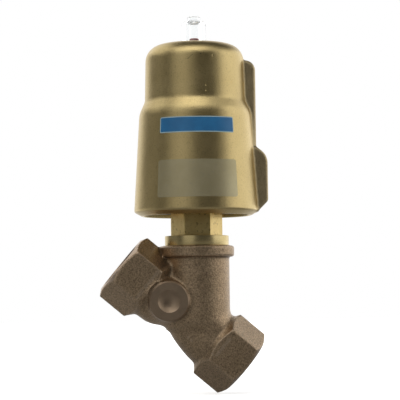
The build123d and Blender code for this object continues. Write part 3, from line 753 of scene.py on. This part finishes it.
def port_block(x, y, z):
    """Distance outside the block that holds the air ports."""
    low_edge = port_block_low_z + port_block_bevel
    slope = (port_block_top_z - port_block_shoulder_z, port_block_reach - rib_reach)
    slope_length = sqrt(slope[0] ** 2 + slope[1] ** 2)
    top = ((x - port_block_reach) * slope[0] + (z - port_block_shoulder_z) * slope[1]) / slope_length
    bevel = (x - port_block_reach - (z - low_edge)) / sqrt(2)
    front = x - port_block_reach
    shape = blunt_max(front, top, 2 * port_block_ease)
    shape = blunt_max(shape, bevel, port_block_ease / 2)
    shape = np.maximum(shape, z - port_block_top_z)
    side = np.abs(y) - port_block_width / 2 + draft * (x - rib_reach)
    shape = blunt_max(shape, side, port_block_ease)
    return np.maximum(shape, np.maximum(port_block_low_z - z, shoulder_high[0] - root_depth - x))


def rib(x, y, z):
    """Distance outside the rib that holds the vent channel."""
    shape = round_max(x - rib_reach, z - rib_top_z, rib_top_round)
    side = np.abs(y) - rib_width / 2 + draft * (x - crown_r)
    shape = blunt_max(shape, side, rib_ease)
    return np.maximum(shape, np.maximum(port_block_top_z - rib_width - z, shoulder_high[0] - root_depth - x))


def housing_skin(x, y, z):
    """Distance outside the whole housing casting, before it is bored."""
    shape = fillet_min(turned_wall(np.hypot(x, y), z), rib(x, y, z), root_fillet)
    shape = fillet_min(shape, port_block(x, y, z), root_fillet)
    return np.maximum(shape, housing_foot_z - z)


recess_r = 25.9
recess_top_z = 63.0
ring_groove_r = 26.9
ring_groove_z = 56.5
ring_groove_top_z = 57.7
piston_bore_r = 25.0
piston_bore_top_z = 103.0
spring_room_r = 21.5
spring_room_low_z = 108.5
spring_room_top_z = 133.5
cap_hole_r = 4.0
cap_seat_r = 5.05
cap_seat_depth = 1.0
channel_r = 1.4
channel_reach = 27.3
pilot_place, vent_place = (Vector(mounts[name]["pos_m"]) for name in ("pilot_port", "vent_port"))
pilot_z, vent_z = ((place - crossing).z / MM for place in (pilot_place, vent_place))
channel_top_z = 118.0
air_minor_r = 4.4
air_major_r = 4.95
air_pitch = 0.907
air_depth = 7.6
air_mouth_r = 5.0
mouth_chamfer = 0.4
room_corner = 2
room_corner_middle = 0.6

housing = skin("actuator_housing_casting", housing_skin, housing_low, housing_high, housing_mesh_size)
room = (
    (0, housing_foot_z - 1),
    (recess_r + mouth_chamfer, housing_foot_z - 1),
    (recess_r + mouth_chamfer, housing_foot_z),
    (recess_r, housing_foot_z + mouth_chamfer),
    (recess_r, ring_groove_z),
    (ring_groove_r, ring_groove_z),
    (ring_groove_r, ring_groove_top_z),
    (recess_r, ring_groove_top_z),
    (recess_r, recess_top_z),
    (piston_bore_r, recess_top_z),
    (piston_bore_r, piston_bore_top_z),
    (spring_room_r, spring_room_low_z),
    (spring_room_r, spring_room_top_z - room_corner),
    (spring_room_r - room_corner_middle, spring_room_top_z - room_corner_middle),
    (spring_room_r - room_corner, spring_room_top_z),
    (cap_hole_r, spring_room_top_z),
    (cap_hole_r, housing_top_z - cap_seat_depth),
    (cap_seat_r, housing_top_z - cap_seat_depth),
    (cap_seat_r, housing_top_z + 1),
    (0, housing_top_z + 1),
)
tools = [lathe("room", room, 192)]
air_thread = (air_minor_r, air_major_r, air_pitch, air_depth, air_mouth_r, 64)
for name, z in (("pilot", pilot_z), ("vent", vent_z)):
    thread = tapped_hole(name + "_thread", *air_thread)
    tools.append(point_along(thread, (1, 0, 0), (port_block_reach, 0, z)))
for name, room_r, z in (("pilot", piston_bore_r, pilot_z), ("spring", spring_room_r, channel_top_z)):
    length = channel_reach - room_r + 1
    tools.append(passage(name + "_channel", channel_r, (room_r - 1, 0, z), (1, 0, 0), length))
channel_up = lathe("rib_channel", stepped(vent_z, (channel_r, channel_top_z)), 32)
tools.append(point_along(channel_up, (0, 0, 1), (channel_reach, 0, 0)))
shape_with(housing, tools)

# nick: 1 along a short scratch or on a pit, between two places
nick, inside, out = effect(
    "nick",
    (("From", "Vector", (0, 0, 0)), ("To", "Vector", (0, 0, 1)), ("Width", "Float", 0.0003)),
    ("Mask",),
)
place = add_node(nick, "TexCoord").outputs["Object"]
reach = vector_sum(nick, "SUBTRACT", {0: inside["To"], 1: inside["From"]})
off = vector_sum(nick, "SUBTRACT", {0: place, 1: inside["From"]})
dots = [vector_sum(nick, "DOT_PRODUCT", {0: first, 1: reach}) for first in (off, reach)]
share = calculate(nick, "DIVIDE", *dots, clamp=True)
nearest = vector_sum(nick, "SCALE", {0: reach, "Scale": share})
gap = vector_sum(nick, "DISTANCE", {0: off, 1: nearest})
away = calculate(nick, "DIVIDE", gap, inside["Width"])
nick.links.new(calculate(nick, "SUBTRACT", 1.0, away, clamp=True), out["Mask"])


def brass_casting(name, light, dark, roughness, grain_size, depth, nicks=()):
    """Brass with a satin or grainy skin, slow patches of colour and a few small marks of handling."""
    made, tree, shader = surface(name, Metallic=1.0)
    fine = use_effect(tree, grain, Size=grain_size, Patch_Size=0.011)
    edge_wear_and_light = use_effect(tree, wear_and_painted_light, Reach=0.05, Size=0.002)
    colour = blend_colours(tree, fine["Patches"], dark, light)
    open_grain = spread(tree, fine["Height"], 0.2, 0.8, 0.8, 1.0)
    colour = blend_colours(tree, open_grain, (0.36, 0.27, 0.12), colour)
    colour = lay_over(tree, colour, fine["Specks"], 0.25, (0.24, 0.17, 0.08))
    # convex edges lightened, partly as wear and partly as a painted highlight
    colour = lay_over(tree, colour, edge_wear_and_light["Wear And Painted Highlight"], 0.12, (0.90, 0.78, 0.48))
    height = fine["Height"]
    for start, end, width in nicks:
        mark = use_effect(tree, nick, From=start, To=end, Width=width)["Mask"]
        colour = lay_over(tree, colour, mark, 0.85, (0.11, 0.075, 0.035))
        height = calculate(tree, "SUBTRACT", height, calculate(tree, "MULTIPLY", mark, 3.0))
    dress(tree, shader, colour, fine["Patches"], roughness, height, depth)
    return made


def on_front(x, z):
    """The place on the crown's front at a distance from the stem axis and a height, in millimetres."""
    down = (housing_top_z - z) / (housing_top_z - shoulder_high[1])
    r = crown_r + (shoulder_high[0] - crown_r) * down
    return Vector((x, -sqrt(r * r - x * x), z)) * MM + crossing


crown_nicks = (
    (on_front(-5.6, 129.0), on_front(-3.3, 131.0), 0.00022),
    (on_front(6.6, 130.6), on_front(6.7, 130.9), 0.0005),
    (on_front(2.9, 116.3), on_front(2.9, 116.4), 0.00035),
    (on_front(2.9, 113.7), on_front(2.9, 113.8), 0.0003),
)
satin_brass = brass_casting(
    "blasted_brass", (0.80, 0.63, 0.30), (0.69, 0.53, 0.24), (0.27, 0.33), 0.0005, 0.00005, crown_nicks
)
grainy_brass = brass_casting(
    "as_cast_brass", (0.62, 0.50, 0.29), (0.50, 0.40, 0.23), (0.38, 0.46), 0.0008, 0.00012
)
bored_brass = machined("bored_brass", brass, 0.0004, (0.18, 0.3), 0.00001)
tapped_brass = machined("tapped_brass", brass, 0.0004, (0.24, 0.34), 0.000006, pilot_place, (1, 0, 0))


def housing_region(x, y, z):
    """0 for the blasted wall, 1 for the cast block and rib, 2 for what is bored, 3 for the air ports."""
    bored = housing_skin(x, y, z) < -0.04
    tapped = bored & (x > port_block_reach - air_depth - 0.1)
    as_cast = turned_wall(np.hypot(x, y), z) > 0.12
    return np.where(tapped, 3, np.where(bored, 2, np.where(as_cast, 1, 0)))


smooth(by_region(housing, (satin_brass, grainy_brass, bored_brass, tapped_brass), housing_region))
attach(housing, "actuator")
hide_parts("actuator_housing")

# Data label and colour band. The label is a blank silver foil and the band a blue print with a pale
# edge, both bent round the skirt's front.
print_azimuth = radians(-93.8)
label_span = radians(78.5)
band_span = radians(77)
label_low_z, label_high_z = ((corner - crossing).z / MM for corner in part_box("data_label"))
band_low_z, band_high_z = ((corner - crossing).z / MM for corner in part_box("colour_band"))
glue = 0.02
label_thickness = 0.12
label_corner = 1.2
band_edge_thickness = 0.04
band_thickness = 0.08
band_corner = 0.9
band_edge_width = 0.45
film_step = 0.4


def skirt_r(z):
    """The radius of the skirt's wall at a height."""
    return foot_r + (shoulder_low[0] - foot_r) * (z - foot_bevel_z) / (shoulder_low[1] - foot_bevel_z)


def film(name, low_z, high_z, span, lift, thickness, corner, inset=0.0):
    """A thin film with rounded corners on the skirt's wall, its sides closed."""
    mean_r = skirt_r(low_z / 2 + high_z / 2)
    half_width, half_height = span * mean_r / 2 - inset, (high_z - low_z) / 2 - inset
    corner = max(corner - inset, 0.1)
    bend = np.linspace(0, 1, 9)
    heights = np.concatenate(
        (
            -half_height + corner * (1 - np.cos(bend * pi / 2)),
            np.arange(-half_height + corner, half_height - corner, 1.0)[1:],
            half_height - corner * (1 - np.cos(bend[::-1] * pi / 2)),
        )
    )
    columns = int(2 * half_width / film_step)
    rows = len(heights)
    points = []
    for face_lift in (lift, lift + thickness):
        for height in heights:
            over = max(abs(height) - (half_height - corner), 0)
            reach = half_width - corner + sqrt(max(corner * corner - over * over, 0))
            z = (low_z + high_z) / 2 + height
            r = skirt_r(z) + face_lift
            for share in np.linspace(-1, 1, columns + 1):
                turn = print_azimuth + share * reach / mean_r
                points.append((r * cos(turn), r * sin(turn), z))
    index = np.arange(rows * (columns + 1)).reshape(rows, columns + 1)
    cells = [index[:-1, :-1], index[:-1, 1:], index[1:, 1:], index[1:, :-1]]
    cells = np.stack(cells, axis=-1).reshape(-1, 4)
    border = np.concatenate([index[0], index[1:, -1], index[-1, -2::-1], index[-2:0:-1, 0]])
    following = np.roll(border, -1)
    sides = np.stack([border, following, following + index.size, border + index.size], axis=-1)
    return piece(name, points, np.concatenate([cells + index.size, cells[:, ::-1], sides]).tolist())


label_foil, tree, shader = surface("label_foil", Metallic=0.85)
flecks = use_effect(tree, grain, Size=0.0009, Patch_Size=0.014)
colour = blend_colours(tree, flecks["Patches"], (0.49, 0.42, 0.24), (0.60, 0.53, 0.33))
colour = lay_over(tree, colour, flecks["Specks"], 0.2, (0.40, 0.37, 0.28))
dress(tree, shader, colour, flecks["Height"], (0.38, 0.48), flecks["Height"], 0.00002)

label = film("data_label_foil", label_low_z, label_high_z, label_span, glue, label_thickness, label_corner)
label.data.materials.append(label_foil)
smooth(label)
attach(label, "actuator")
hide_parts("data_label")


def even_skin(name, light, dark, grain_size, patch_size, roughness, depth, **fixed):
    """A material with a fine grain and slow patches between two shades of one colour."""
    made, tree, shader = surface(name, **fixed)
    fine = use_effect(tree, grain, Size=grain_size, Patch_Size=patch_size)
    colour = blend_colours(tree, fine["Patches"], dark, light)
    dress(tree, shader, colour, fine["Height"], roughness, fine["Height"], depth)
    return made


blue_ink, pale_ink = (
    even_skin(name, light, dark, 0.0005, 0.006, (0.3, 0.42), 0.00001)
    for name, light, dark in (
        ("blue_print", (0.012, 0.125, 0.285), (0.008, 0.095, 0.225)),
        ("pale_print", (0.30, 0.42, 0.45), (0.24, 0.35, 0.38)),
    )
)
band_place = band_low_z, band_high_z, band_span
band_edge = film("colour_band_edge", *band_place, glue, band_edge_thickness, band_corner)
band_edge.data.materials.append(pale_ink)
fill_thickness = band_thickness - band_edge_thickness
fill_lift = glue + band_edge_thickness
band = film("colour_band_fill", *band_place, fill_lift, fill_thickness, band_corner, band_edge_width)
band.data.materials.append(blue_ink)
for made in (band_edge, band):
    smooth(made)
    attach(made, "actuator")
    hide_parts("colour_band")

# Indicator cap. A clear moulded cap that screws into the crown over the indicator rod. Its crown
# has a slot for a coin or a screwdriver.
cap_r = 5.9
cap_thread_r = 3.95
cap_thread_length = 4.5
cap_bore_r = 2.9
cap_inner_top_z = 150.2
cap_shoulder_z = 150.9
cap_shoulder_round = 2.0
cap_crown_r = 3.2
cap_crown_top_z = 153.4
cap_slot_width = 1.2


def arc(centre, radius, start, end, steps=8):
    """Points of an arc in the turned section, between two angles in degrees."""
    turns = [radians(start + (end - start) * k / steps) for k in range(steps + 1)]
    return [(centre[0] + radius * cos(turn), centre[1] + radius * sin(turn)) for turn in turns]


shell = [(cap_bore_r, housing_top_z - cap_thread_length), (cap_thread_r, housing_top_z - cap_thread_length)]
shell += [(cap_thread_r, housing_top_z), (cap_r - 0.25, housing_top_z), (cap_r, housing_top_z + 0.25)]
shell += arc((cap_r - cap_shoulder_round, cap_shoulder_z - cap_shoulder_round), cap_shoulder_round, 0, 90)
shell += [(cap_crown_r + 0.3, cap_shoulder_z), (cap_crown_r, cap_shoulder_z + 0.3)]
shell += arc((cap_crown_r - 0.5, cap_crown_top_z - 0.5), 0.5, 0, 90, 4)
shell += [(0, cap_crown_top_z), (0, cap_inner_top_z)]
shell += arc((cap_bore_r - 1.0, cap_inner_top_z - 1.0), 1.0, 90, 0, 6)
cap = lathe("indicator_cap_clear", shell, 96)
slot_x, slot_y = 2 * cap_crown_r, cap_slot_width / 2
slot = ((-slot_x, -slot_y), (slot_x, -slot_y), (slot_x, slot_y), (-slot_x, slot_y))
shape_with(cap, [prism("slot", slot, cap_shoulder_z + 0.1, cap_crown_top_z + 1)])

clear_plastic, tree, shader = surface("clear_plastic", Transmission_Weight=1.0, IOR=1.49)
# painted shade: the cap's colour goes dark where its surface is seen edge-on, standing in for the dark
# refractions and reflections along its outline
facing = add_node(tree, "LayerWeight", {"Blend": 0.5}).outputs["Facing"]
colour = blend_colours(tree, spread(tree, facing, 0.6, 0.97), (0.98, 0.99, 0.99), (0.10, 0.11, 0.11))
haze = use_effect(tree, grain, Size=0.0012, Patch_Size=0.004)
dress(tree, shader, colour, haze["Patches"], (0.015, 0.05), haze["Patches"], 0.00001)
cap.data.materials.clear()
cap.data.materials.append(clear_plastic)
smooth(cap, radians(28))
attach(cap, "actuator")
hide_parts("indicator_cap")

# Main springs. Two nested springs of drawn steel wire with closed, ground ends. They stand between
# the piston and the spring plate, and the piston shortens them.
wire_steps = 12
steps_per_turn = 48

spring_shades = (0.42, 0.42, 0.43), (0.30, 0.30, 0.31)
spring_steel = even_skin("spring_steel", *spring_shades, 0.0005, 0.003, (0.28, 0.42), 0.00001, Metallic=1.0)


def spring(name, node, wire_r, turns):
    """A compression spring in the place of a CAD node, with its end turns closed and ground flat."""
    low, high = ((corner - crossing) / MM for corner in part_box(node))
    mean_r = (high.x - low.x) / 2 - wire_r
    count = turns * steps_per_turn
    share = np.linspace(0, 1, count + 1)
    pitch = np.clip(np.minimum(share, 1 - share) * turns, 0, 1) ** 2 + 0.28
    rise = np.concatenate(([0], np.cumsum((pitch[1:] + pitch[:-1]) / 2)))
    start, end = low.z + 0.5 * wire_r, high.z - 0.5 * wire_r
    heights = start + (end - start) * rise / rise[-1]
    points = []
    for turn, height in zip(share * turns * 2 * pi, heights):
        for way in np.arange(wire_steps) * 2 * pi / wire_steps:
            r = mean_r + wire_r * cos(way)
            z = min(max(height + wire_r * sin(way), low.z), high.z)
            points.append((r * cos(turn), r * sin(turn), z))
    faces = ring_faces(count + 1, wire_steps)
    faces += [tuple(range(wire_steps)), tuple(range(count * wire_steps, (count + 1) * wire_steps))[::-1]]
    made = piece(name, points, faces)
    made.data.materials.append(spring_steel)
    smooth(made)
    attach(made, "actuator")
    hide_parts(node)
    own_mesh(made)


spring("main_spring_outer_coil", "main_spring_outer", wire_r=1.5, turns=8)
spring("main_spring_inner_coil", "main_spring_inner", wire_r=1.2, turns=10)

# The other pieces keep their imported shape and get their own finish. Turned steel for the stem, the
# plug and the packing's rings, aluminium for the piston, and brass for the gland nut.
def finish_nodes(material, *names):
    """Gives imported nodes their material."""
    for name in names:
        mesh = frame["nodes"][name].data
        mesh.materials.clear()
        mesh.materials.append(material)


steel = (0.58, 0.58, 0.57)
turned_steel = machined("turned_stainless", steel, 0.0003, (0.16, 0.28), 0.000008)
finish_nodes(turned_steel, "packing_support_ring", "packing_header_ring", "packing_spring_washer")
finish_nodes(turned_steel, "spindle", "piston_washer", "piston_nut", "spring_plate")
finish_nodes(turned_steel, "valve_disc", "disc_clamp_washer", "disc_nut")
finish_nodes(spring_steel, "packing_spring", "disc_retainer_ring", "retaining_ring")
finish_nodes(turned_brass, "gland_nut")
aluminium = machined("turned_aluminium", (0.72, 0.73, 0.74), 0.0005, (0.25, 0.38), 0.00001)
finish_nodes(aluminium, "piston")
bush_bronze = machined("bearing_bronze", (0.56, 0.36, 0.17), 0.0004, (0.3, 0.42), 0.00001)
finish_nodes(bush_bronze, "spindle_bush")


# Seals, gasket and indicator rod. Moulded rubber, waxy white packing, pressed fibre, and the red
# brown plastic rod whose end shows under the clear cap.
moulded = 0.0004, 0.004
rubber = even_skin("black_rubber", (0.022,) * 3, (0.013,) * 3, *moulded, (0.45, 0.6), 0.00002)
finish_nodes(rubber, "rod_seal", "base_o_ring", "piston_seal", "piston_o_ring", "indicator_cap_o_ring")
white = even_skin("white_ptfe", (0.82, 0.82, 0.80), (0.74, 0.74, 0.71), *moulded, (0.35, 0.45), 0.00001)
finish_nodes(white, "rod_wiper", "chevron_rings", "piston_guide_ring", "disc_seal")
fibre = even_skin("gasket_fibre", (0.10, 0.13, 0.10), (0.06, 0.08, 0.06), *moulded, (0.7, 0.85), 0.00004)
finish_nodes(fibre, "bonnet_gasket")
red = even_skin("red_plastic", (0.22, 0.035, 0.025), (0.17, 0.026, 0.02), *moulded, (0.3, 0.4), 0.00001)
finish_nodes(red, "indicator_rod")

# Studio. A pale floor under the valve, a white backdrop behind it and a darker room in front. Six
# soft lamps: a large one at the right, weaker ones at the front left and the left, three above.
floor_z = cad_low.z - 0.0003
floor_half = 1.6
floor_near, floor_far = 0.1, 0.7
floor_lift_near, floor_lift_far = 0.62, 1.0
mirrored_paint = (0.05, 0.05, 0.05)
mirrored_near, mirrored_far = 0.15, 1.0
mirrored_reach = 0.5
backdrop_white = 1.0
backdrop_start, backdrop_full = 0.55, 0.85
room_level = 0.052
fill_level = 0.45


def ray_kinds(tree):
    """1 for what the camera sees, straight or through glass, and 1 for what a gloss reflects."""
    rays = add_node(tree, "LightPath").outputs
    seen = calculate(tree, "MAXIMUM", rays["Is Camera Ray"], rays["Is Transmission Ray"])
    return seen, rays["Is Glossy Ray"]


def blend_levels(tree, share, first, second):
    """Goes from the first level to the second as share goes from 0 to 1."""
    return add_node(tree, "Mix", {0: share, 2: first, 3: second}, data_type="FLOAT").outputs[0]


world = bpy.data.worlds.new("studio")
bpy.context.scene.world = world
world.use_nodes = True
tree = world.node_tree
background = tree.nodes["Background"]
background.inputs["Color"].default_value = (1, 1, 1, 1)
way = add_node(tree, "SeparateXYZ", {0: add_node(tree, "TexCoord").outputs["Generated"]})
behind = spread(tree, way.outputs["Y"], backdrop_start, backdrop_full)
reflected = spread(tree, behind, 0, 1, room_level, backdrop_white)
seen, glossy = ray_kinds(tree)
unseen = blend_levels(tree, glossy, fill_level, reflected)
tree.links.new(blend_levels(tree, seen, unseen, backdrop_white), background.inputs["Strength"])

floor_mesh = bpy.data.meshes.new("floor")
corners = [(x * floor_half, y * floor_half, floor_z) for x, y in ((-1, -1), (1, -1), (1, 1), (-1, 1))]
floor_mesh.from_pydata(corners, [], [(0, 1, 2, 3)])
floor = put_in_scene("floor", floor_mesh)
floor_paint, tree, shader = surface(
    "floor_paint", Roughness=0.9, Specular_IOR_Level=0.0, Emission_Color=(1, 1, 1, 1)
)
dust = use_effect(tree, grain, Size=0.002, Patch_Size=0.08)
paint = blend_colours(tree, dust["Patches"], (0.90, 0.90, 0.89), (0.93, 0.93, 0.92))
place = add_node(tree, "TexCoord").outputs["Object"]
across = add_node(tree, "SeparateXYZ", {0: place})
seen, glossy = ray_kinds(tree)
mirrored = calculate(tree, "SUBTRACT", glossy, seen, clamp=True)
tree.links.new(blend_colours(tree, mirrored, paint, mirrored_paint), shader.inputs["Base Color"])
away = vector_sum(tree, "LENGTH", {0: place})
lift = spread(tree, away, floor_near, floor_far, floor_lift_near, floor_lift_far)
behind = spread(tree, across.outputs["Y"], 0.0, mirrored_reach, mirrored_near, mirrored_far)
glow = calculate(tree, "MULTIPLY", seen, lift)
glow = calculate(tree, "ADD", glow, calculate(tree, "MULTIPLY", mirrored, behind))
tree.links.new(glow, shader.inputs["Emission Strength"])
floor.data.materials.append(floor_paint)

aim = (cad_low + cad_high) / 2


def lamp(name, azimuth, elevation, distance, width, height, level):
    """A soft rectangular lamp that faces the valve; azimuth 0 is the camera's side and 90 the right."""
    light = bpy.data.lights.new(name, "AREA")
    light.shape, light.size, light.size_y = "RECTANGLE", width, height
    light.energy = level * pi * width * height
    made = put_in_scene(name, light)
    a, e = radians(azimuth), radians(elevation)
    way = Vector((sin(a) * cos(e), -cos(a) * cos(e), sin(e)))
    made.location = aim + way * distance
    made.rotation_mode = "QUATERNION"
    made.rotation_quaternion = way.to_track_quat("Z", "Y")


lamp("right_lamp", 98, 8, 0.9, 1.6, 1.1, 0.88)
lamp("left_lamp", -35, 12, 0.9, 0.7, 0.9, 0.34)
lamp("side_lamp", -98, 5, 0.9, 0.7, 0.9, 0.12)
lamp("top_lamp", -22, 60, 0.8, 0.8, 0.4, 0.9)
lamp("wide_top_lamp", 15, 58, 0.8, 1.9, 0.4, 0.5)
lamp("left_top_lamp", -118, 46, 0.8, 0.8, 0.5, 0.7)

# Camera. It stands in front and a little below the middle of the valve, slightly to the left of
# square, with a long lens.
picture_width = 400
focal_pixels = 1527.88
camera_yaw = 0.1001932
camera_pitch = -0.05732
camera_roll = 0.0133833
view_shift = Vector((-0.986, -62.58, -746.7)) * MM


roll, pitch = Matrix.Rotation(camera_roll, 3, "Z"), Matrix.Rotation(camera_pitch, 3, "X")
facing = Matrix(((1, 0, 0), (0, 0, 1), (0, -1, 0)))
turned = roll @ pitch @ facing @ Matrix.Rotation(camera_yaw, 3, "Z")
lens = bpy.data.cameras.new("camera")
lens.sensor_width = 36.0
lens.lens = focal_pixels * lens.sensor_width / picture_width
camera = put_in_scene("camera", lens)
eye = turned.transposed().to_4x4()
eye.translation = crossing - turned.transposed() @ view_shift
camera.matrix_world = eye
bpy.context.scene.camera = camera
bpy.context.scene.view_settings.view_transform = "Standard"
